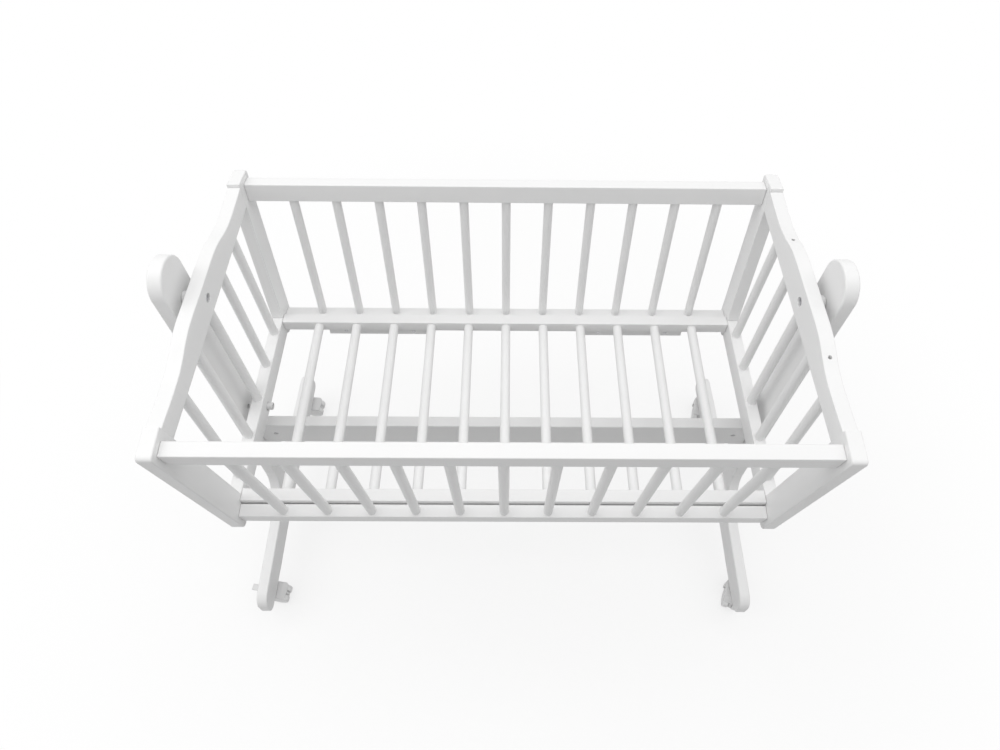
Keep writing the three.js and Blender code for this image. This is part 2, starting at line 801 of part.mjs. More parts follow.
function pedal() {
  const length = pedalWidth + 2 * (runningGap + earThickness);
  const pin = barAlongY(pedalPinDiameter, length, fixingSides).translate(pedalPinX, -length / 2, pedalPinHeight);
  const half = pedalThickness / 2;
  const arm = block(
    [pedalPinX - pedalReach, -pedalWidth / 2, pedalPinHeight - half],
    [pedalPinX, pedalWidth / 2, pedalPinHeight + half],
  );
  return joined([pin, arm]);
}

for (const [name, angle] of Object.entries(castorAngles)) {
  const castor = new THREE.Group();
  const xSign = name.endsWith('right') ? 1 : -1;
  const ySign = name.startsWith('back') ? 1 : -1;
  castor.position.set(xSign * uprightMiddle, ySign * castorY, 0);
  castor.rotation.z = angle;
  stand.add(castor);
  const braked = ySign < 0;
  piece(castor, `${name}_castor_housing`, housing(braked), whitePlastic());
  piece(castor, `${name}_castor_wheels`, wheelPair(), whitePlastic());
  if (braked) {
    piece(castor, `${name}_brake_pedal`, pedal(), whitePlastic());
  }
}

export default crib;
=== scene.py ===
from math import cos, pi, radians, sin, tan

import bpy
import bmesh
from mathutils import Matrix, Vector
from mathutils.geometry import interpolate_bezier


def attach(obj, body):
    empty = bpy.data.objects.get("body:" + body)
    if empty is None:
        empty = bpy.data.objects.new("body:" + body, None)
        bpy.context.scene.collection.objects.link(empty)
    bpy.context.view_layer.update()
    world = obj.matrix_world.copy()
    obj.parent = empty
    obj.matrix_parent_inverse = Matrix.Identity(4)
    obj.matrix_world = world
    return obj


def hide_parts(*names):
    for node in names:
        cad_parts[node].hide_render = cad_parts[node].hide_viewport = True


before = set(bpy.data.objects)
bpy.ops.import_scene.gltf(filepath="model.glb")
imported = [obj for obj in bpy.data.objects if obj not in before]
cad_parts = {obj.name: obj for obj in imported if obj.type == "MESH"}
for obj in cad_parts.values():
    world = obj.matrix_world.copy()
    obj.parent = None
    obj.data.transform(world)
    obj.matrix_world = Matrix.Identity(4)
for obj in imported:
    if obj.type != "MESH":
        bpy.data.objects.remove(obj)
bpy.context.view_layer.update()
print("frame loaded:", len(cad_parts), "nodes")


# the camera that took the photo, worked out from the crib's own edges
view = {
    "place": (0.00555, -0.65884, 1.63142),
    "pitch": 0.93649,  # down from level, radians
    "turn": -0.0153,
    "roll": 0.01877,
    "lens": 25.563,
    "shift": (-0.01507, -0.06034),
    "sensor": 36,
    "near": 0.05,
}


def setCamera():
    lens = bpy.data.cameras.new("photoCamera")
    lens.sensor_width = view["sensor"]
    lens.lens = view["lens"]
    lens.shift_x, lens.shift_y = view["shift"]
    lens.clip_start = view["near"]
    camera = bpy.data.objects.new("photoCamera", lens)
    bpy.context.scene.collection.objects.link(camera)
    aim = Matrix.Rotation(view["turn"], 4, "Z") @ Matrix.Rotation(pi / 2 - view["pitch"], 4, "X")
    camera.matrix_world = Matrix.Translation(view["place"]) @ aim @ Matrix.Rotation(view["roll"], 4, "Z")
    bpy.context.scene.camera = camera


setCamera()
bpy.context.scene.view_settings.view_transform = "Standard"
print("camera set")


# materials

class Wire:
    # a socket that can be added and multiplied
    def __init__(self, look, socket):
        self.look = look
        self.socket = socket

    def math(self, operation, first, second):
        return self.look.node("ShaderNodeMath", {"operation": operation}, {0: first, 1: second})

    def __add__(self, other):
        return self.math("ADD", self, other)

    def __mul__(self, other):
        return self.math("MULTIPLY", self, other)

    __radd__ = __add__
    __rmul__ = __mul__


class Look:
    # one node material, with a Principled shader to feed
    def __init__(self, name, **fixed):
        self.material = bpy.data.materials.new(name)
        self.material.use_nodes = True
        self.tree = self.material.node_tree
        self.tree.nodes.clear()
        self.shader = self.tree.nodes.new("ShaderNodeBsdfPrincipled")
        output = self.tree.nodes.new("ShaderNodeOutputMaterial")
        self.tree.links.new(self.shader.outputs[0], output.inputs[0])
        for socket, value in fixed.items():
            self.shader.inputs[socket.replace("_", " ")].default_value = value

    def node(self, kind, settings, inputs, result=0):
        made = self.tree.nodes.new(kind)
        for key, value in settings.items():
            setattr(made, key, value)
        for key, value in inputs.items():
            self.feed(made.inputs[key], value)
        return Wire(self, made.outputs[result])

    def feed(self, socket, value):
        if isinstance(value, Wire):
            self.tree.links.new(value.socket, socket)
        else:
            socket.default_value = value

    def points(self, stretch):
        place = self.node("ShaderNodeTexCoord", {}, {}, "Object")
        return self.node("ShaderNodeMapping", {"vector_type": "POINT"}, {"Vector": place, "Scale": stretch})

    def noise(self, scale, detail=2.0, stretch=(1, 1, 1)):
        inputs = {"Vector": self.points(stretch), "Scale": scale, "Detail": detail}
        return self.node("ShaderNodeTexNoise", {}, inputs, "Fac")

    def between(self, mask, first, second):
        # mixes two colours
        settings = {"data_type": "RGBA"}
        return self.node("ShaderNodeMix", settings, {0: mask, 6: (*first, 1), 7: (*second, 1)}, 2)

    def bump(self, height, relief):
        # relief is a depth in metres and a strength
        depth, strength = relief
        inputs = {"Height": height, "Distance": depth, "Strength": strength}
        self.feed(self.shader.inputs["Normal"], self.node("ShaderNodeBump", {}, inputs))

    def give(self, socket, value):
        self.feed(self.shader.inputs[socket], value)


paint = {
    "light": (0.9, 0.9, 0.9),
    "dull": (0.86, 0.86, 0.857),
    "index": 1.48,
    "grainLength": 7,  # streaks per metre along the grain
    "grainWidth": 160,
    "cloud": 9.0,  # slow change of tone, patches per metre
    "peel": 700,  # spray texture, bumps per metre
    "streakTone": 0.3,  # share of the streaks in the tone
    "roughness": 0.32,  # of the smoothest spots
    "cloudRough": 0.14,
    "streakRough": 0.06,
    "peelShare": 0.3,  # of the relief
    "relief": (0.00025, 0.35),
}


def paintLook(name, grain):
    # satin paint on wood whose grain runs along X, Y or Z
    look = Look(name, IOR=paint["index"])
    stretch = [paint["grainWidth"]] * 3
    stretch["XYZ".index(grain)] = paint["grainLength"]
    streaks = look.noise(1.0, 3.0, stretch)
    cloud = look.noise(paint["cloud"], 3.0)
    peel = look.noise(paint["peel"], 1.0)
    tone = cloud * (1 - paint["streakTone"]) + streaks * paint["streakTone"]
    look.give("Base Color", look.between(tone, paint["light"], paint["dull"]))
    look.give("Roughness", cloud * paint["cloudRough"] + streaks * paint["streakRough"] + paint["roughness"])
    look.bump(streaks * (1 - paint["peelShare"]) + peel * paint["peelShare"], paint["relief"])
    return {"material": look.material, "slot": "paint"}


mouldedSkin = {
    "index": 1.49,
    "cloud": 60.0,
    "grit": 1800.0,
    "roughness": 0.3,
    "cloudRough": 0.12,
    "relief": (0.0001, 0.3),
}


def plasticLook(name, light, dull):
    look = Look(name, IOR=mouldedSkin["index"])
    cloud = look.noise(mouldedSkin["cloud"])
    grit = look.noise(mouldedSkin["grit"], 1.0)
    look.give("Base Color", look.between(cloud, (light,) * 3, (dull,) * 3))
    look.give("Roughness", cloud * mouldedSkin["cloudRough"] + mouldedSkin["roughness"])
    look.bump(grit, mouldedSkin["relief"])
    return {"material": look.material, "slot": "plastic"}


zinc = {
    "light": (0.62, 0.62, 0.64),
    "dull": (0.52, 0.52, 0.53),
    "cloud": 240.0,
    "grain": 2600.0,
    "roughness": 0.25,
    "cloudRough": 0.2,
    "relief": (0.00005, 0.3),
}


def steelLook():
    look = Look("zincSteel")
    cloud = look.noise(zinc["cloud"])
    grain = look.noise(zinc["grain"], 1.0)
    look.give("Base Color", look.between(cloud, zinc["light"], zinc["dull"]))
    look.give("Roughness", cloud * zinc["cloudRough"] + zinc["roughness"])
    look.give("Metallic", 1.0)
    look.bump(grain, zinc["relief"])
    return {"material": look.material, "slot": "steel"}


paintX = paintLook("paintAlongX", "X")
paintY = paintLook("paintAlongY", "Y")
paintZ = paintLook("paintAlongZ", "Z")
plastic = plasticLook("whitePlastic", 0.80, 0.76)
# painted light: the wheels get a lighter copy of the hood's white plastic, so they look lit beside the shaded
# hood
wheelLitPlastic = plasticLook("wheelLitCopyOfWhitePlastic", 0.93, 0.90)
steel = steelLook()
print("materials made")


# shapes

shaping = {
    "merge": 0.000001,  # points closer than this are one
    "reach": 0.03,  # how far a cutter goes past what it cuts
    "start": 0.01,  # how far before it some of them begin
    "lift": 0.002,  # of a drill above the surface
    "chamfer": 0.0006,  # at the mouth of a drilled hole
    "keyReach": 0.004,  # length of the cutter for a hexagon recess
    "sharp": 38,  # degrees, above which shading has an edge
    "squareEnd": 0.97,  # how straight an end face looks along its axis
}


def blockMesh(low, high):
    bm = bmesh.new()
    middle = (Vector(low) + Vector(high)) / 2
    size = Vector(high) - Vector(low)
    bmesh.ops.create_cube(bm, size=1, matrix=Matrix.Translation(middle) @ Matrix.Diagonal((*size, 1)))
    return bm


def rodMesh(radius, length, sides=40):
    # along Z from the origin
    bm = bmesh.new()
    place = Matrix.Translation((0, 0, length / 2))
    bmesh.ops.create_cone(
        bm, cap_ends=True, segments=sides, radius1=radius, radius2=radius, depth=length, matrix=place)
    return bm


def pushedMesh(points, way):
    # body between a flat outline and its moved copy
    bm = bmesh.new()
    face = bm.faces.new([bm.verts.new(point) for point in points])
    grown = bmesh.ops.extrude_face_region(bm, geom=[face])["geom"]
    moved = [part for part in grown if isinstance(part, bmesh.types.BMVert)]
    bmesh.ops.translate(bm, verts=moved, vec=way)
    bmesh.ops.recalc_face_normals(bm, faces=bm.faces)
    return bm


def boardMesh(outline, low, high):
    # outline in (y, z), pushed along X from low to high
    return pushedMesh([(low, y, z) for y, z in outline], (high - low, 0, 0))


def turnedMesh(profile, steps=40):
    # profile in (radius, z), turned round Z; it ends on the axis, or in a ring where it starts
    bm = bmesh.new()
    points = [bm.verts.new((radius, 0, z)) for radius, z in profile]
    for first, second in zip(points, points[1:]):
        bm.edges.new((first, second))
    bmesh.ops.spin(
        bm, geom=bm.verts[:] + bm.edges[:], cent=(0, 0, 0), axis=(0, 0, 1), angle=2 * pi, steps=steps,
        use_merge=True)
    bmesh.ops.remove_doubles(bm, verts=bm.verts, dist=shaping["merge"])
    bmesh.ops.recalc_face_normals(bm, faces=bm.faces)
    return bm


def rounded(bm, edges, radius, segments=3):
    bmesh.ops.bevel(
        bm, geom=edges, offset=radius, offset_type="OFFSET", affect="EDGES", segments=segments, profile=0.5,
        clamp_overlap=True, material=-1)
    return bm


def softened(bm, radius, segments=3, corner=30, square=None):
    # rounds the edges, apart from those of end faces that look along the square axis
    edges = [edge for edge in bm.edges if edge.calc_face_angle(0) > radians(corner)]
    if square:
        bm.normal_update()
        axis, limit = "XYZ".index(square), shaping["squareEnd"]
        edges = [edge for edge in edges if all(abs(face.normal[axis]) < limit for face in edge.link_faces)]
    return rounded(bm, edges, radius, segments)


def placed(bm, place):
    bmesh.ops.transform(bm, matrix=place, verts=bm.verts)
    return bm


def together(*parts):
    # one mesh of several separate shells
    whole = bmesh.new()
    for part in parts:
        mesh = bpy.data.meshes.new("part")
        part.to_mesh(mesh)
        part.free()
        whole.from_mesh(mesh)
        bpy.data.meshes.remove(mesh)
    return whole


def looseObject(bm, name):
    mesh = bpy.data.meshes.new(name)
    bm.to_mesh(mesh)
    bm.free()
    thing = bpy.data.objects.new(name, mesh)
    bpy.context.scene.collection.objects.link(thing)
    return thing


def worked(bm, tool, operation="DIFFERENCE"):
    # cuts the tool away from the mesh, or joins the two
    blank = looseObject(bm, "blank")
    cutter = looseObject(tool, "cutter")
    change = blank.modifiers.new("cut", "BOOLEAN")
    change.operation = operation
    change.solver = "EXACT"
    change.object = cutter
    result = bmesh.new()
    result.from_object(blank, bpy.context.evaluated_depsgraph_get())
    for thing in (blank, cutter):
        mesh = thing.data
        bpy.data.objects.remove(thing)
        bpy.data.meshes.remove(mesh)
    return result


def drillMesh(radius, depth, chamfer=shaping["chamfer"]):
    # cutter with its mouth at the origin, going down, and slightly wider at the mouth
    rim, lift = radius + chamfer, shaping["lift"]
    profile = [(0, lift), (rim, lift), (rim, 0), (radius, -chamfer), (radius, -depth), (0, -depth)]
    return turnedMesh(profile, 32)


def boreMesh(radius, low=-shaping["reach"], high=shaping["reach"], steps=32):
    # cutter for a hole along Z
    return turnedMesh([(0, low), (radius, low), (radius, high), (0, high)], steps)


def keyed(bolt, radius, floor):
    # cuts a hexagon recess into the head
    return worked(bolt, placed(rodMesh(radius, shaping["keyReach"], 6), at(0, 0, floor)))


def addPiece(name, bm, finish, body, *nodes):
    piece = looseObject(bm, name)
    piece.data.materials.append(finish["material"])
    piece.data.shade_smooth()
    piece.data.set_sharp_from_angle(angle=radians(shaping["sharp"]))
    even = piece.modifiers.new("evenShading", "WEIGHTED_NORMAL")
    even.keep_sharp = True
    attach(piece, body)
    if nodes:
        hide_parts(*nodes)


def towards(axis):
    # turns +Z to the named direction
    turns = {
        "+X": Matrix.Rotation(pi / 2, 4, "Y"),
        "-X": Matrix.Rotation(-pi / 2, 4, "Y"),
        "+Y": Matrix.Rotation(-pi / 2, 4, "X"),
        "-Y": Matrix.Rotation(pi / 2, 4, "X"),
    }
    return turns[axis]


def outwards(sign):
    return towards("+X" if sign > 0 else "-X")


def at(x, y, z):
    return Matrix.Translation((x, y, z))


def evenPlaces(count, pitch):
    return [(i - (count - 1) / 2) * pitch for i in range(count)]


def arcPoints(middle, radius, start, end, steps):
    points = []
    for i in range(steps + 1):
        angle = radians(start + (end - start) * i / steps)
        points.append((middle[0] + radius * cos(angle), middle[1] + radius * sin(angle)))
    return points


def bendPoints(start, pullStart, pullEnd, end, steps):
    knots = [Vector((*point, 0)) for point in (start, pullStart, pullEnd, end)]
    return [(point.x, point.y) for point in interpolate_bezier(*knots, steps + 1)]


def between(start, end, share):
    return tuple(a + (b - a) * share for a, b in zip(start, end))


def bowPoints(start, pull, end, steps):
    # a curve with a single pull point
    return bendPoints(start, between(start, pull, 2 / 3), between(end, pull, 2 / 3), end, steps)


def mirrored(half):
    # closes an outline that is the same on both sides of y = 0
    return half + [(-y, z) for y, z in reversed(half) if abs(y) > shaping["merge"]]


ends = ((-1, "left"), (1, "right"))


# side panels, each made upright and then leant outwards

bed = {
    "length": 0.9,
    "width": 0.4,
    "height": 0.457,  # floor to the top of the bottom rails
    "lean": radians(7.2),
    "gap": 0.0003,
    "touch": 0.00001,  # a point nearer than this to a face lies on it
}
sideRail = {
    "thickness": 0.022, "topHeight": 0.035, "bottomHeight": 0.032, "panelHeight": 0.323, "edge": 0.0015,
}
spindle = {"radius": 0.008, "letIn": 0.009, "sideCount": 11, "endCount": 5}
post = {
    "thickness": 0.022, "width": 0.0465, "inset": 0.026, "proud": 0.0115, "drop": 0.013,
    "foot": 0.011, "cap": 0.008,  # roundings at its ends
    "edge": 0.002, "frontInnerEdge": 0.0001, "backInnerEdge": 0.0008, "corner": 40,
}
cleat = {
    "length": 0.207, "thickness": 0.017, "height": 0.017, "inset": 0.088, "screwPitch": 0.138, "edge": 0.0008,
}
baseFrame = {
    "railWidth": 0.022, "railHeight": 0.026, "rise": 0.0095, "endGap": 0.0005, "edge": 0.001,
    "slatCount": 11, "slatRadius": 0.009, "slatMargin": 0.0725,
}
screw = {
    "head": 0.004, "dome": 0.0002, "cone": 0.0028, "shank": 0.00195, "point": 0.004, "length": 0.026,
    "cross": 0.0022, "crossWidth": 0.0008, "crossDepth": 0.0015,
}
sink = {"mouth": 0.0043, "shank": 0.0021, "cone": 0.003, "depth": 0.02, "lift": 0.001}

endInner = bed["length"] / 2
sideOffset = bed["width"] / 2 + sideRail["thickness"] / 2
sidePlaces = evenPlaces(spindle["sideCount"], bed["length"] / (spindle["sideCount"] + 1))
baseBottom = baseFrame["rise"] - baseFrame["railHeight"]  # from the bed height
postCap = sideRail["panelHeight"] * cos(bed["lean"]) + post["proud"]


def alongLean(level, y):
    # how far up the leaning panel a level height lies, at depth y in the panel
    return (level + y * sin(bed["lean"])) / cos(bed["lean"])


def leaning(facing):
    turn = Matrix.Rotation(0 if facing > 0 else pi, 4, "Z")
    return turn @ at(0, sideOffset, bed["height"]) @ Matrix.Rotation(-bed["lean"], 4, "X")


def railMesh(top, height):
    end = endInner - bed["gap"]
    half = sideRail["thickness"] / 2
    return softened(blockMesh((-end, -half, top - height), (end, half, top)), sideRail["edge"])


def postMesh(sign, innerEdge):
    inner = -post["inset"]
    outer = post["width"] - post["inset"]
    bottom = -sideRail["bottomHeight"] - post["drop"]
    r = post["foot"]
    top = alongLean(postCap, (inner + outer) / 2)  # cut square to the post
    outline = [(inner, top)]
    outline += arcPoints((inner + r, bottom + r), r, 180, 270, 6)
    outline += arcPoints((outer - r, bottom + r), r, 270, 360, 6)
    outline += bowPoints((outer, top - post["cap"]), (outer, top), (outer - post["cap"], top), 8)
    low, high = sorted((sign * endInner, sign * (endInner + post["thickness"])))
    board = boardMesh(outline, low, high)
    for radius, atInner in ((post["edge"], False), (innerEdge, True)):
        edges = [edge for edge in board.edges if edge.calc_face_angle(0) > radians(post["corner"])
                 and atInner == all(abs(vert.co.y - inner) < bed["touch"] for vert in edge.verts)]
        rounded(board, edges, radius)
    return board


def screwMesh():
    # countersunk head up at z = 0, with a cross in it
    profile = [(0, 0), (screw["head"], -screw["dome"]), (screw["shank"], -screw["cone"])]
    profile += [(screw["shank"], screw["point"] - screw["length"]), (0, -screw["length"])]
    reach, half, depth, above = screw["cross"], screw["crossWidth"] / 2, screw["crossDepth"], sink["lift"]
    cross = together(
        blockMesh((-reach, -half, -depth), (reach, half, above)),
        blockMesh((-half, -reach, -depth), (half, reach, above)),
    )
    return worked(turnedMesh(profile, 24), cross)


cleatBack = -sideRail["thickness"] / 2 - bed["gap"]
cleatFront = cleatBack - cleat["thickness"]
cleatTop = baseBottom - bed["gap"]
cleatBottom = alongLean(cleatTop, cleatFront) - cleat["height"]
screwHeight = alongLean(cleatTop, cleatFront) - cleat["height"] / 2
cleatMiddle = endInner - cleat["inset"] - cleat["length"] / 2


def sinkMesh():
    # cutter for a screw's hole with a countersunk mouth
    mouth, shank, depth, lift = sink["mouth"], sink["shank"], sink["depth"], sink["lift"]
    profile = [(0, lift), (mouth, lift), (mouth, 0), (shank, -sink["cone"]), (shank, -depth), (0, -depth)]
    return turnedMesh(profile, 24)


def cleatMesh(middle):
    outline = [
        (cleatFront, cleatBottom),
        (cleatBack, cleatBottom),
        (cleatBack, alongLean(cleatTop, cleatBack)),
        (cleatFront, alongLean(cleatTop, cleatFront)),
    ]
    half = cleat["length"] / 2
    body = softened(boardMesh(outline, middle - half, middle + half), cleat["edge"])
    spots = [at(middle + x, cleatFront, screwHeight) for x in evenPlaces(2, cleat["screwPitch"])]
    return worked(body, together(*[placed(sinkMesh(), spot @ towards("-Y")) for spot in spots]))


def addSide(facing, side):
    lean = leaning(facing)
    under = sideRail["panelHeight"] - sideRail["topHeight"]
    top = railMesh(sideRail["panelHeight"], sideRail["topHeight"])
    addPiece(f"{side}TopRail", placed(top, lean), paintX, "cradle", f"{side}_top_rail")
    bottom = railMesh(0, sideRail["bottomHeight"])
    addPiece(f"{side}BottomRail", placed(bottom, lean), paintX, "cradle", f"{side}_bottom_rail")
    for index, x in enumerate(sidePlaces):
        number = index + 1 if facing > 0 else len(sidePlaces) - index
        bar = rodMesh(spindle["radius"], under + 2 * spindle["letIn"])
        bar = placed(bar, lean @ at(x, 0, -spindle["letIn"]))
        addPiece(f"{side}Spindle{number}", bar, paintZ, "cradle", f"{side}_spindle_{number}")
    innerEdge = post["backInnerEdge"] if facing > 0 else post["frontInnerEdge"]
    for sign, end in ends:
        turned = sign * facing  # the front panel is turned half round
        board = placed(postMesh(turned, innerEdge), lean)
        addPiece(f"{side}{end.title()}Post", board, paintZ, "cradle", f"{side}_{end}_post")
        batten = placed(cleatMesh(turned * cleatMiddle), lean)
        addPiece(f"{side}{end.title()}Cleat", batten, paintX, "cradle", f"{side}_{end}_cleat")
        for number, x in enumerate(evenPlaces(2, cleat["screwPitch"]), 1):
            place = lean @ at(turned * cleatMiddle + x, cleatFront, screwHeight) @ towards("-Y")
            fixing = placed(screwMesh(), place)
            addPiece(f"{side}{end.title()}CleatScrew{number}", fixing, steel, "cradle")


addSide(-1, "front")
addSide(1, "back")
print("side panels made")


# end panels

endRail = {
    "thickness": 0.022,
    "height": 0.0555,  # at the crest
    "crest": 0.0115,  # above the posts' caps
    "edgeStep": 0.0035,
    "waveStep": 0.0055,
    "crestHalf": 0.052,
    "waveInset": 0.061,
    "bottomTop": 0.010,
    "bottomHeight": 0.043,
    "spindleMargin": 0.0357,
    "frontGap": 0.00005,
    "backGap": 0.0006,
    "edge": 0.0015,
}
rodHole = {"radius": 0.003, "spacing": 0.224, "depth": 0.014}
pivot = {
    "belowCrest": 0.027, "bolt": 0.005, "bore": 0.0053, "boreDepth": 0.02, "reach": 0.018,
    "head": 0.010, "headDepth": 0.004,
    "dome": ((0.55, 1), (0.8, 0.86), (0.95, 0.5)),  # shares of the head's radius and depth
    "key": 0.0035, "keyDepth": 0.0028,
    "mouth": 0.0075, "mouthDepth": 0.009,
    "nut": 0.0066, "nutLength": 0.006, "nutEdge": 0.0004, "nutGap": 0.0005, "nutSlack": 0.00005,
}
lock = {
    "below": 0.019, "radius": 0.004, "tipGap": 0.002, "tip": 0.001,
    "knob": 0.007, "knobLength": 0.0135, "knobGap": 0.0005, "knobEdge": 0.0006,
    "grooves": (0.0065, 0.0082, 0.0099), "groove": 0.0004,
    "hollow": 0.0048, "hollowDepth": 0.008, "hollowEdge": 0.0003,
    "mouth": 0.0085, "mouthDepth": 0.004,
    "sleeve": 0.006, "boss": 0.007, "bossLength": 0.020, "bossEdge": 0.002, "bossBend": 0.0006,
}
spacer = {"radius": 0.011, "length": 0.015, "edge": 0.001}
uprightBoard = {
    "thickness": 0.022, "width": 0.074, "waist": 0.065, "head": 0.079,
    "waistDrop": 0.153, "shoulderDrop": 0.038, "headRise": 0.079, "edge": 0.003,
}

crest = postCap + endRail["crest"]
railUnder = crest - endRail["height"]
endMiddle = endInner + endRail["thickness"] / 2
endOuter = endInner + endRail["thickness"]
pivotHeight = bed["height"] + crest - pivot["belowCrest"]
lockHeight = bed["height"] - lock["below"]
uprightInner = endOuter + spacer["length"]
uprightOuter = uprightInner + uprightBoard["thickness"]


def postFace(level):
    # depth of the posts' inner faces at a height above the bed
    faceY = sideOffset - post["inset"] * cos(bed["lean"])
    return faceY + (level - post["inset"] * sin(bed["lean"])) * tan(bed["lean"])


def fitted(outline):
    # end rails are tight against the front posts and a hair open at the back ones
    front, back = endRail["frontGap"], endRail["backGap"]
    return [(y + (front if y < 0 else -back), z + bed["height"]) for y, z in outline]


endPitch = 2 * (postFace(endRail["bottomTop"]) - endRail["spindleMargin"]) / (spindle["endCount"] - 1)
endPlaces = evenPlaces(spindle["endCount"], endPitch)


def endTopOutline():
    edge = postCap - endRail["edgeStep"]
    edgeY = postFace(edge)
    low = postCap - endRail["waveStep"]
    lowY = edgeY - endRail["waveInset"]
    tailY = (edgeY + lowY) / 2
    slopeY = (lowY + endRail["crestHalf"]) / 2
    half = [(postFace(railUnder), railUnder)]
    half += bowPoints((edgeY, edge), (tailY, low), (lowY, low), 10)
    half += bendPoints((lowY, low), (slopeY, low), (slopeY, crest), (endRail["crestHalf"], crest), 20)[1:]
    return fitted(mirrored(half))


def addEnd(sign, end):
    low, high = sorted((sign * endInner, sign * endOuter))
    rail = softened(boardMesh(endTopOutline(), low, high), endRail["edge"], square="Y")
    mouth = drillMesh(pivot["mouth"], pivot["mouthDepth"])
    rail = worked(rail, placed(mouth, at(sign * endInner, 0, pivotHeight) @ outwards(-sign)))
    bore = drillMesh(pivot["bore"], pivot["boreDepth"], shaping["chamfer"] / 2)
    bores = [placed(bore, at(sign * endOuter, 0, pivotHeight) @ outwards(sign))]
    if sign > 0:
        floor = bed["height"] + postCap - endRail["waveStep"] - rodHole["depth"]
        for y in evenPlaces(2, rodHole["spacing"]):
            bore = rodMesh(rodHole["radius"], rodHole["depth"] + shaping["reach"], 24)
            bores.append(placed(bore, at(endMiddle, y, floor)))
    rail = worked(rail, together(*bores))
    addPiece(f"{end}EndTopRail", rail, paintY, "cradle", f"{end}_end_top_rail")
    top = endRail["bottomTop"]
    bottom = top - endRail["bottomHeight"]
    outline = fitted(mirrored([(postFace(bottom), bottom), (postFace(top), top)]))
    rail = softened(boardMesh(outline, low, high), endRail["edge"], square="Y")
    if sign < 0:
        floor, reach, before = endRail["thickness"] - lock["mouthDepth"], shaping["reach"], -shaping["start"]
        narrow, wide = lock["radius"] + bed["gap"], lock["mouth"]
        profile = [(0, before), (narrow, before), (narrow, floor), (wide, floor), (wide, reach), (0, reach)]
        rail = worked(rail, placed(turnedMesh(profile), at(-endOuter, 0, lockHeight) @ towards("+X")))
    grille = f"{end}_end_grille"
    addPiece(f"{end}EndBottomRail", rail, paintY, "cradle", grille)
    for number, y in enumerate(endPlaces, 1):
        bar = rodMesh(spindle["radius"], railUnder - top + 2 * spindle["letIn"])
        bar = placed(bar, at(sign * endMiddle, y, bed["height"] + top - spindle["letIn"]))
        addPiece(f"{end}EndSpindle{number}", bar, paintZ, "cradle", grille)


for sign, end in ends:
    addEnd(sign, end)
print("end panels made")


# base frame

def addBase():
    half = bed["length"] / 2 - baseFrame["endGap"]
    outer = bed["width"] / 2 + baseBottom * tan(bed["lean"]) - bed["gap"]
    inner = outer - baseFrame["railWidth"]
    bottom = bed["height"] + baseBottom
    top = bed["height"] + baseFrame["rise"]
    for side, low, high in (("Front", -outer, -inner), ("Back", inner, outer)):
        rail = softened(blockMesh((-half, low, bottom), (half, high, top)), baseFrame["edge"])
        addPiece(f"base{side}Rail", rail, paintX, "cradle", "base_frame")
    reach = inner + spindle["letIn"]
    pitch = (bed["length"] - 2 * baseFrame["slatMargin"]) / (baseFrame["slatCount"] - 1)
    for number, x in enumerate(evenPlaces(baseFrame["slatCount"], pitch), 1):
        place = at(x, -reach, (top + bottom) / 2) @ towards("+Y")
        slat = placed(rodMesh(baseFrame["slatRadius"], 2 * reach), place)
        addPiece(f"baseSlat{number}", slat, paintY, "cradle", "base_frame")


addBase()
print("base frame made")


# stand

foot = {
    "thickness": 0.022, "reach": 0.277, "height": 0.060, "droop": 0.007, "arch": 0.007,
    "toe": 0.028, "heel": 0.008, "fillet": 0.092, "neck": 0.003, "edge": 0.003,
}
stretcherBoard = {
    "top": 0.380, "height": 0.070, "thickness": 0.022, "edge": 0.0025,
    "bore": 0.004, "boreDepth": 0.045, "boreLift": 0.001,
}
barrelNut = {
    "radius": 0.005, "inset": 0.030, "depth": 0.018, "length": 0.014, "slack": 0.0002, "edge": 0.0005,
    "slot": 0.0014, "slotDepth": 0.0015, "fromBack": 0.005,
}
stretcherBolt = {
    "head": 0.0065, "headDepth": 0.0026, "edge": 0.0008, "dish": 0.0002, "shank": 0.0038, "length": 0.06,
    "key": 0.0026, "keyDepth": 0.0018,
}
castor = {
    "inset": 0.049, "trail": 0.013, "height": 0.050,
    "wheel": 0.020, "wheelWidth": 0.012, "gap": 0.001, "web": 0.006, "webRadius": 0.0178, "webEdge": 0.001,
    "stem": 0.004, "stemTop": 0.0823, "stemEdge": 0.0008, "stemBore": 0.033,
}
uprightMiddle = (uprightInner + uprightOuter) / 2
stretcherMiddle = stretcherBoard["top"] - stretcherBoard["height"] / 2
castorReach = foot["reach"] - castor["inset"]
hubTop = castor["height"] + foot["height"] + foot["droop"] + foot["fillet"] + foot["neck"]


def barrelNutMesh():
    # cross dowel with a slot in its end
    radius, length, half = barrelNut["radius"], barrelNut["length"], barrelNut["slot"] / 2
    nut = softened(rodMesh(radius - barrelNut["slack"], length, 32), barrelNut["edge"], 2)
    wide = 2 * radius
    return worked(nut, blockMesh((-wide, -half, length - barrelNut["slotDepth"]), (wide, half, 2 * wide)))


def stretcherBoltMesh():
    # its head's top is at the origin, with a hexagon recess
    bolt = stretcherBolt
    head, shank, depth, length, edge = [bolt[key] for key in ("head", "shank", "headDepth", "length", "edge")]
    profile = [(0, 0), (head - edge, 0), (head, -edge), (head, bolt["dish"] - depth), (shank, -depth)]
    profile += [(shank, -length), (0, -length)]
    return keyed(turnedMesh(profile, 32), bolt["key"], -bolt["keyDepth"])


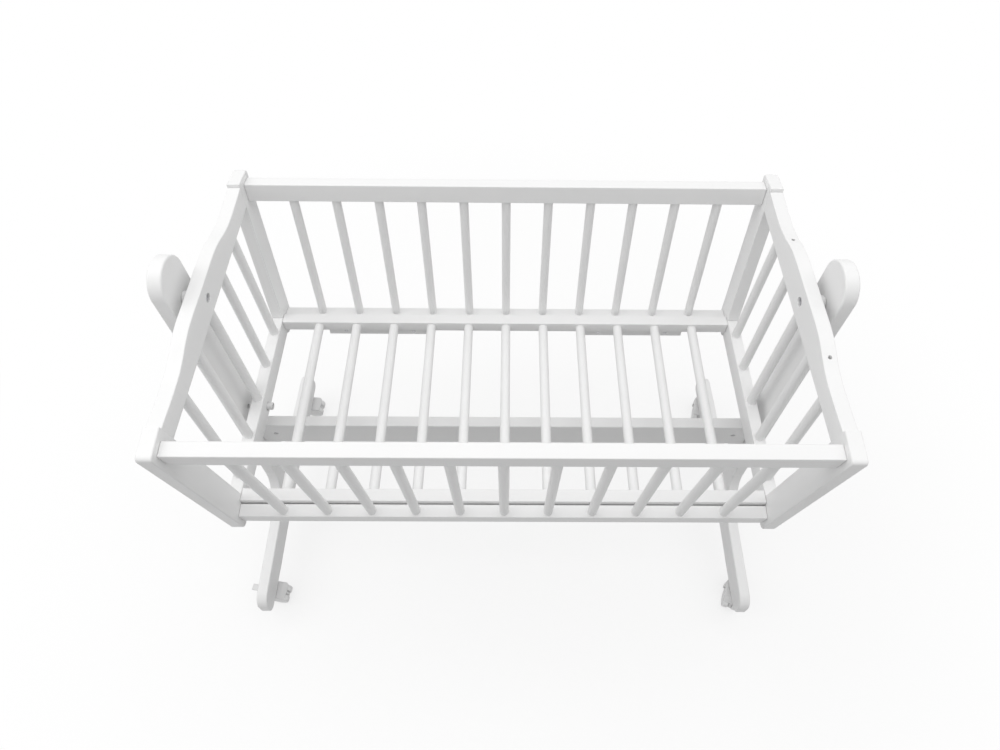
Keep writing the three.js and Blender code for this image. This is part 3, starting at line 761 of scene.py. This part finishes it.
def addStretcher():
    end = uprightInner - bed["gap"]
    half = stretcherBoard["thickness"] / 2
    low = stretcherBoard["top"] - stretcherBoard["height"]
    board = blockMesh((-end, -half, low), (end, half, stretcherBoard["top"]))
    board = softened(board, stretcherBoard["edge"])
    places = [sign * (end - barrelNut["inset"]) for sign in (-1, 1)]
    bores = []
    for x in places:
        hole = drillMesh(barrelNut["radius"], barrelNut["depth"])
        bores.append(placed(hole, at(x, -half, stretcherMiddle) @ towards("-Y")))
    for sign in (-1, 1):
        hole = boreMesh(stretcherBoard["bore"], -stretcherBoard["boreDepth"], stretcherBoard["boreLift"])
        bores.append(placed(hole, at(sign * end, 0, stretcherMiddle) @ outwards(sign)))
    addPiece("stretcher", worked(board, together(*bores)), paintX, "stand", "stretcher")
    for x, (sign, side) in zip(places, ends):
        nut = placed(barrelNutMesh(), at(x, half - barrelNut["fromBack"], stretcherMiddle) @ towards("-Y"))
        addPiece(f"{side}BarrelNut", nut, steel, "stand")
        place = at(sign * (uprightOuter + stretcherBolt["headDepth"]), 0, stretcherMiddle) @ outwards(sign)
        addPiece(f"{side}StretcherBolt", placed(stretcherBoltMesh(), place), steel, "stand")


def uprightOutline():
    # narrow at the waist, with a round head
    standing, waist, head = [uprightBoard[key] / 2 for key in ("width", "waist", "head")]
    bottom = hubTop + bed["gap"]
    waistLevel = pivotHeight - uprightBoard["waistDrop"]
    shoulder = pivotHeight - uprightBoard["shoulderDrop"]
    bendLevel = (waistLevel + shoulder) / 2
    lowBend = (bottom + waistLevel) / 2
    half = [(0, bottom)]
    half += bowPoints((standing, bottom), (waist, lowBend), (waist, waistLevel), 12)
    half += bendPoints((waist, waistLevel), (waist, bendLevel), (head, bendLevel), (head, shoulder), 16)[1:]
    half += arcPoints((0, pivotHeight + uprightBoard["headRise"] - head), head, 0, 90, 20)
    return mirrored(half)


def addUpright(sign, end):
    low, high = sorted((sign * uprightInner, sign * uprightOuter))
    board = softened(boardMesh(uprightOutline(), low, high), uprightBoard["edge"], segments=4)
    holes = [(pivot["bore"], pivotHeight), (stretcherBoard["bore"], stretcherMiddle)]
    if sign < 0:
        holes.append((lock["sleeve"] + bed["gap"], lockHeight))
    bores = []
    for radius, height in holes:
        bores.append(placed(boreMesh(radius), at(sign * uprightMiddle, 0, height) @ towards("+X")))
    addPiece(f"{end}Upright", worked(board, together(*bores)), paintZ, "stand", f"{end}_upright")


def footOutline():
    half = uprightBoard["width"] / 2
    top = castor["height"] + foot["height"]
    root = top + foot["droop"]
    bottom = castor["height"]
    arch = bottom + foot["arch"]
    archY = foot["reach"] - 2 * castor["inset"]
    r, toe, heel, reach = foot["fillet"], foot["toe"], foot["heel"], foot["reach"]
    right = bowPoints((0, arch), (archY / 2, arch), (archY, bottom), 16)
    right += [(reach - heel, bottom), (reach, bottom + heel)]
    right += arcPoints((reach - toe, top - toe), toe, 0, 90, 16)
    right += arcPoints((half + r, root + r), r, 270, 180, 24)
    right.append((half, hubTop))
    return mirrored(right)


def addFoot(sign, end):
    low, high = sorted((sign * uprightInner, sign * uprightOuter))
    board = softened(boardMesh(footOutline(), low, high), foot["edge"], segments=4, corner=20)
    bores = []
    for depth in (-1, 1):
        hole = boreMesh(castor["stem"] + bed["gap"], -shaping["start"], castor["stemBore"])
        bores.append(placed(hole, at(sign * uprightMiddle, depth * castorReach, castor["height"])))
    addPiece(f"{end}Foot", worked(board, together(*bores)), paintY, "stand", f"{end}_foot")


def addPivot(sign, end):
    # button head outside, shank through the upright and spacer into the end panel
    length = uprightOuter - uprightInner + spacer["length"] + pivot["reach"]
    r, rim, depth = pivot["bolt"], pivot["head"], pivot["headDepth"]
    profile = [(0, depth)] + [(rim * out, depth * up) for out, up in pivot["dome"]] + [(rim, bed["gap"])]
    profile += [(r, bed["gap"]), (r, -length), (0, -length)]
    bolt = keyed(turnedMesh(profile), pivot["key"], depth - pivot["keyDepth"])
    place = at(sign * uprightOuter, 0, pivotHeight) @ outwards(sign)
    addPiece(f"{end}PivotBolt", placed(bolt, place), steel, "stand", f"{end}_pivot_bolt")
    # nut at the shank's end, sunk in the end panel
    nut = softened(rodMesh(pivot["nut"], pivot["nutLength"], 6), pivot["nutEdge"], 2)
    thread = placed(rodMesh(r + pivot["nutSlack"], shaping["reach"], 32), at(0, 0, -shaping["start"]))
    seat = endInner + pivot["mouthDepth"] - pivot["nutGap"]
    place = at(sign * seat, 0, pivotHeight) @ outwards(-sign)
    addPiece(f"{end}PivotNut", placed(worked(nut, thread), place), steel, "stand")
    half, bore = spacer["length"] / 2 - bed["gap"], pivot["bore"]
    rim, edge = spacer["radius"], spacer["edge"]
    ring = [(bore, -half), (rim - edge, -half), (rim, edge - half), (rim, half - edge), (rim - edge, half)]
    tube = turnedMesh(ring + [(bore, half), (bore, -half)])
    place = at(sign * (uprightInner - spacer["length"] / 2), 0, pivotHeight) @ towards("+X")
    addPiece(f"{end}PivotSpacer", placed(tube, place), plastic, "stand", f"{end}_pivot_spacer")


def addLock():
    tip = lock["tipGap"] - uprightInner
    knobFace = lock["knobGap"] - lock["mouthDepth"] - endInner
    length = knobFace - tip
    r, knob, hollow = lock["radius"], lock["knob"], lock["hollow"]
    taper, edge, lip = lock["tip"], lock["knobEdge"], lock["hollowEdge"]
    last = length + lock["knobLength"]
    profile = [(0, 0), (r - taper, 0), (r, taper), (r, length), (knob - edge, length), (knob, length + edge)]
    for groove in lock["grooves"]:
        middle, cut = length + groove, lock["groove"]
        profile += [(knob, middle - cut), (knob - cut, middle), (knob, middle + cut)]
    profile += [(knob, last - edge), (knob - edge, last), (hollow + lip, last), (hollow, last - lip)]
    profile += [(hollow, last - lock["hollowDepth"]), (0, last - lock["hollowDepth"])]
    pin = placed(turnedMesh(profile), at(tip, 0, lockHeight) @ towards("+X"))
    addPiece("lockPin", pin, plastic, "lock_pin", "lock_pin")
    bore, edge, bend = r + bed["gap"], lock["bossEdge"], lock["bossBend"]
    wide, sleeve, far = lock["boss"], lock["sleeve"], lock["bossLength"]
    inner = uprightBoard["thickness"] + bed["gap"]
    ring = [(0, -far), (wide - edge, -far), (wide - bend, bend - far), (wide, edge - far), (wide, 0)]
    ring += [(sleeve, 0), (sleeve, inner), (bore, inner), (bore, 0), (0, 0)]
    socket = placed(turnedMesh(ring), at(-uprightOuter - bed["gap"], 0, lockHeight) @ towards("+X"))
    addPiece("lockSocket", socket, plastic, "stand", "lock_socket")


addStretcher()
for sign, end in ends:
    addUpright(sign, end)
    addFoot(sign, end)
    addPivot(sign, end)
addLock()
print("stand made")


# castors, made round the swivel axis with the axle towards +X

castorAngles = {"frontLeft": -8, "frontRight": -109, "backLeft": -4, "backRight": -104}
hood = {
    "width": 0.036, "top": 0.0442, "bottom": 0.013, "front": 0.028, "back": 0.025,
    "frontRound": 0.006, "backRound": 0.014, "edge": 0.0045,
    "lip": 0.037,  # height of the lip, to which the top slopes down
    "slopeStart": 0.006, "slopePull": 0.015, "slopeLift": 0.0002,
    "lipBefore": 0.005, "lipRise": 0.0045, "lipPast": 0.001,
    "far": 0.04, "high": 0.06,  # ends of the cutter above the slope
    "room": 0.0216, "roomFront": 0.05,  # round the wheels
}
collar = {
    "neck": 0.0075, "neckBottom": 0.043, "radius": 0.010, "bottom": 0.0457, "top": 0.0497, "edge": 0.0005,
}
wheel = {
    "edge": 0.0025, "bend": 0.0008,  # rounding of the tread
    "stub": 0.003, "stubStart": 0.0005, "axle": 0.0029, "axleHalf": 0.001,
    "rim": 0.005, "dish": 0.006, "dishEdge": 0.0012,  # the dish in its outer face
    "hub": 0.006, "hubDepth": 0.0022, "cap": 0.0045, "capEdge": 0.0008, "capDip": 0.0006,
}
pedal = {
    "width": 0.013, "thickness": 0.0036, "reach": 0.022, "edge": 0.0012, "pin": 0.0022, "height": 0.035,
    "offset": 0.001, "ear": 0.003, "earEdge": 0.0007,
}
pedalPlace = -hood["back"] - pedal["offset"]


def hoodMesh():
    # D-shaped from above and rounded over the top, still solid below
    half, front, back, bottom = hood["width"] / 2, hood["front"], hood["back"], hood["bottom"]
    r, s = hood["frontRound"], hood["backRound"]
    plan = arcPoints((front - r, r - half), r, 270, 360, 5) + arcPoints((front - r, half - r), r, 0, 90, 5)
    plan += arcPoints((s - back, half - s), s, 90, 180, 10) + arcPoints((s - back, s - half), s, 180, 270, 10)
    bm = pushedMesh([(x, y, bottom) for x, y in plan], (0, 0, hood["top"] - bottom))
    rim = [edge for edge in bm.edges if all(vert.co.z > hood["lip"] for vert in edge.verts)]
    rounded(bm, rim, hood["edge"], 4)
    # the top slopes down towards the lip
    start, top, lip = hood["slopeStart"], hood["top"] + hood["slopeLift"], hood["lip"]
    pullEnd, end = (front - hood["lipBefore"], lip + hood["lipRise"]), (front + hood["lipPast"], lip)
    above = bendPoints((start, top), (hood["slopePull"], top), pullEnd, end, 8)
    above += [(hood["far"], lip), (hood["far"], hood["high"]), (start, hood["high"])]
    cutter = boardMesh(above, -shaping["reach"], shaping["reach"])
    return worked(bm, placed(cutter, Matrix.Rotation(-pi / 2, 4, "Z")))


def withEars(housing):
    # two lugs behind the hood that hold the pedal's pin
    x, height, pin = pedalPlace, pedal["height"], pedal["pin"]
    inner = pedal["width"] / 2 + bed["gap"]
    for side in (-1, 1):
        low, high = sorted((side * inner, side * (inner + pedal["ear"])))
        lug = blockMesh((x - 2 * pin, low, height - 2 * pin), (x + 6 * pin, high, height + 2 * pin))
        housing = worked(housing, softened(lug, pedal["earEdge"], 2), "UNION")
    hole = rodMesh(pin + bed["gap"], shaping["reach"], 24)
    return worked(housing, placed(hole, at(x, -shaping["reach"] / 2, height) @ towards("+Y")))


def webMesh():
    # disc between the wheels, round Z
    inner, web, edge = castor["web"] / 2, castor["webRadius"], castor["webEdge"]
    profile = [(0, -inner), (web - edge, -inner), (web, edge - inner), (web, inner - edge)]
    return turnedMesh(profile + [(web - edge, inner), (0, inner)])


def stemMesh():
    # neck, swivel collar and stem
    neck, ring, stem = collar["neck"], collar["radius"], castor["stem"]
    low, high, edge = collar["bottom"], collar["top"], collar["edge"]
    top, point = castor["stemTop"], castor["stemEdge"]
    profile = [(0, collar["neckBottom"]), (neck, collar["neckBottom"]), (neck, low), (ring, low + edge)]
    profile += [(ring, high - edge), (ring - edge, high)]
    profile += [(stem, high), (stem, top - point), (stem - point, top), (0, top)]
    return turnedMesh(profile, 32)


def wheelMesh():
    # one wheel on the axle's stub, away from the web along Z
    r, edge, bend = castor["wheel"], wheel["edge"], wheel["bend"]
    stub, start = wheel["stub"], wheel["stubStart"]
    low = castor["web"] / 2 + castor["gap"]
    high = low + castor["wheelWidth"]
    profile = [(0, start), (stub, start), (stub, low)]
    profile += [(r - edge, low), (r - bend, low + bend), (r, low + edge)]
    profile += [(r, high - edge), (r - bend, high - bend), (r - edge, high), (r - wheel["rim"], high)]
    profile += [(r - wheel["dish"], high - wheel["dishEdge"]), (wheel["hub"], high - wheel["hubDepth"])]
    profile += [(wheel["cap"], high - wheel["capEdge"]), (0, high - wheel["capDip"])]
    return turnedMesh(profile, 48)


def addCastor(name, angle):
    side = 1 if name.endswith("Right") else -1
    depth = 1 if name.startswith("back") else -1
    spot = at(side * uprightMiddle, depth * castorReach, 0) @ Matrix.Rotation(radians(angle), 4, "Z")
    node = name.replace("Left", "_left").replace("Right", "_right")
    braked = depth < 0
    axle = at(castor["trail"], 0, castor["wheel"])
    # the hood is opened for the wheels on both sides of the web, and from below
    reach = shaping["reach"]
    rooms = []
    for turn in ("+Y", "-Y"):
        room = boreMesh(hood["room"], castor["web"] / 2, reach, 40)
        rooms.append(placed(room, axle @ towards(turn)))
    back = castor["trail"] - castor["wheel"]
    under = blockMesh((back, -reach, 0), (hood["roomFront"], reach, castor["wheel"]))
    housing = withEars(hoodMesh()) if braked else hoodMesh()
    housing = worked(worked(housing, together(*rooms)), under)
    housing = worked(housing, placed(webMesh(), axle @ towards("+Y")), "UNION")
    housing = worked(housing, stemMesh(), "UNION")
    housing = placed(housing, spot)
    addPiece(f"{name}CastorHousing", housing, plastic, f"{node}_castor", f"{node}_castor_housing")
    pair = [placed(wheelMesh(), axle @ towards(turn)) for turn in ("+Y", "-Y")]
    bar = boreMesh(wheel["axle"], -wheel["axleHalf"], wheel["axleHalf"], 48)
    pair.append(placed(bar, axle @ towards("+Y")))
    wheels = placed(together(*pair), spot)
    # the wheels take the lighter copy of the white plastic, which is painted light
    addPiece(f"{name}CastorWheels", wheels, wheelLitPlastic, f"{node}_wheels", f"{node}_castor_wheels")
    if braked:
        addPedal(name, node, spot)


def addPedal(name, node, spot):
    x, half, thick = pedalPlace, pedal["width"] / 2, pedal["thickness"] / 2
    arm = softened(blockMesh((x - pedal["reach"], -half, -thick), (x, half, thick)), pedal["edge"])
    length = pedal["width"] + 2 * (bed["gap"] + pedal["ear"])
    pin = placed(rodMesh(pedal["pin"], length, 24), at(x, -length / 2, 0) @ towards("+Y"))
    arm = placed(worked(arm, pin, "UNION"), at(0, 0, pedal["height"]))
    addPiece(f"{name}Pedal", placed(arm, spot), plastic, f"{node}_pedal", f"{node}_brake_pedal")


for name, angle in castorAngles.items():
    addCastor(name, angle)
print("castors made")


# floor, world and lamps

studio = {
    "ambient": 0.635,
    "lamps": (  # place, size and power
        ((0, 0.2, 3.4), (3.2, 2.4), 25.4),
        ((-2.2, 0, 2.8), (1.6, 1.6), 15.4),
        ((2.2, 0, 2.8), (1.6, 1.6), 8.0),
        ((-3.0, -0.6, 1.4), (2.0, 1.6), 7.0),
    ),
    "floorSeen": 1.0,
    "floorBounce": 0.35,  # what the floor throws back at the crib
    "white": 0.7,  # share of plain white in the floor that the camera sees, near the crib
    "whiteFrom": 0.7,  # from here to the next distance it grows to plain white
    "whiteTo": 1.4,
    "floorSize": 8,
    "floorDrop": 0.0002,  # below the wheels
    "lampAim": 0.4,  # height of the point that the lamps look at
}


def seenDirectly(tree):
    # 1 for rays from the camera, also by way of metal or glass
    path = tree.nodes.new("ShaderNodeLightPath")
    total = path.outputs["Is Camera Ray"]
    for name in ("Is Glossy Ray", "Is Transmission Ray"):
        step = tree.nodes.new("ShaderNodeMath")
        step.operation = "MAXIMUM"
        tree.links.new(total, step.inputs[0])
        tree.links.new(path.outputs[name], step.inputs[1])
        total = step.outputs[0]
    return total


def floorLook():
    look = Look("studioFloor")
    seen = Wire(look, seenDirectly(look.tree))
    grey, pale = [(tone,) * 3 for tone in (studio["floorBounce"], studio["floorSeen"])]
    plain = look.node("ShaderNodeBsdfDiffuse", {}, {"Color": look.between(seen, grey, pale)})
    white = look.node("ShaderNodeEmission", {}, {})
    place = look.node("ShaderNodeTexCoord", {}, {}, "Object")
    away = look.node("ShaderNodeVectorMath", {"operation": "LENGTH"}, {0: place}, 1)
    limits = {"From Min": studio["whiteFrom"], "From Max": studio["whiteTo"]}
    limits.update({"To Min": studio["white"], "To Max": 1.0})
    share = look.node("ShaderNodeMapRange", {"interpolation_type": "SMOOTHSTEP"}, {"Value": away, **limits})
    blend = look.node("ShaderNodeMixShader", {}, {0: seen * share, 1: plain, 2: white})
    look.tree.nodes.remove(look.shader)
    output = next(node for node in look.tree.nodes if node.type == "OUTPUT_MATERIAL")
    look.tree.links.new(blend.socket, output.inputs[0])
    return look.material


def addLamp(number, place, size, power):
    lamp = bpy.data.lights.new(f"lamp{number}", "AREA")
    lamp.shape = "RECTANGLE"
    lamp.size, lamp.size_y = size
    lamp.energy = power
    thing = bpy.data.objects.new(lamp.name, lamp)
    thing.location = place
    aim = Vector((0, 0, studio["lampAim"])) - Vector(place)
    thing.rotation_euler = aim.to_track_quat("-Z", "Y").to_euler()
    bpy.context.scene.collection.objects.link(thing)


def addStudio():
    floor = bmesh.new()
    bmesh.ops.create_grid(floor, x_segments=1, y_segments=1, size=studio["floorSize"])
    ground = looseObject(floor, "studioFloor")
    ground.data.materials.append(floorLook())
    ground.location.z = -studio["floorDrop"]
    world = bpy.data.worlds.new("studioWorld")
    bpy.context.scene.world = world
    world.use_nodes = True
    tree = world.node_tree
    tree.nodes.clear()
    room = tree.nodes.new("ShaderNodeBackground")
    room.inputs["Color"].default_value = (1, 1, 1, 1)
    room.inputs["Strength"].default_value = studio["ambient"]
    white = tree.nodes.new("ShaderNodeBackground")
    blend = tree.nodes.new("ShaderNodeMixShader")
    output = tree.nodes.new("ShaderNodeOutputWorld")
    tree.links.new(seenDirectly(tree), blend.inputs[0])
    tree.links.new(room.outputs[0], blend.inputs[1])
    tree.links.new(white.outputs[0], blend.inputs[2])
    tree.links.new(blend.outputs[0], output.inputs[0])
    white.inputs["Color"].default_value = (1, 1, 1, 1)
    for number, (spot, size, power) in enumerate(studio["lamps"]):
        addLamp(number, spot, size, power)


addStudio()
print("studio made")
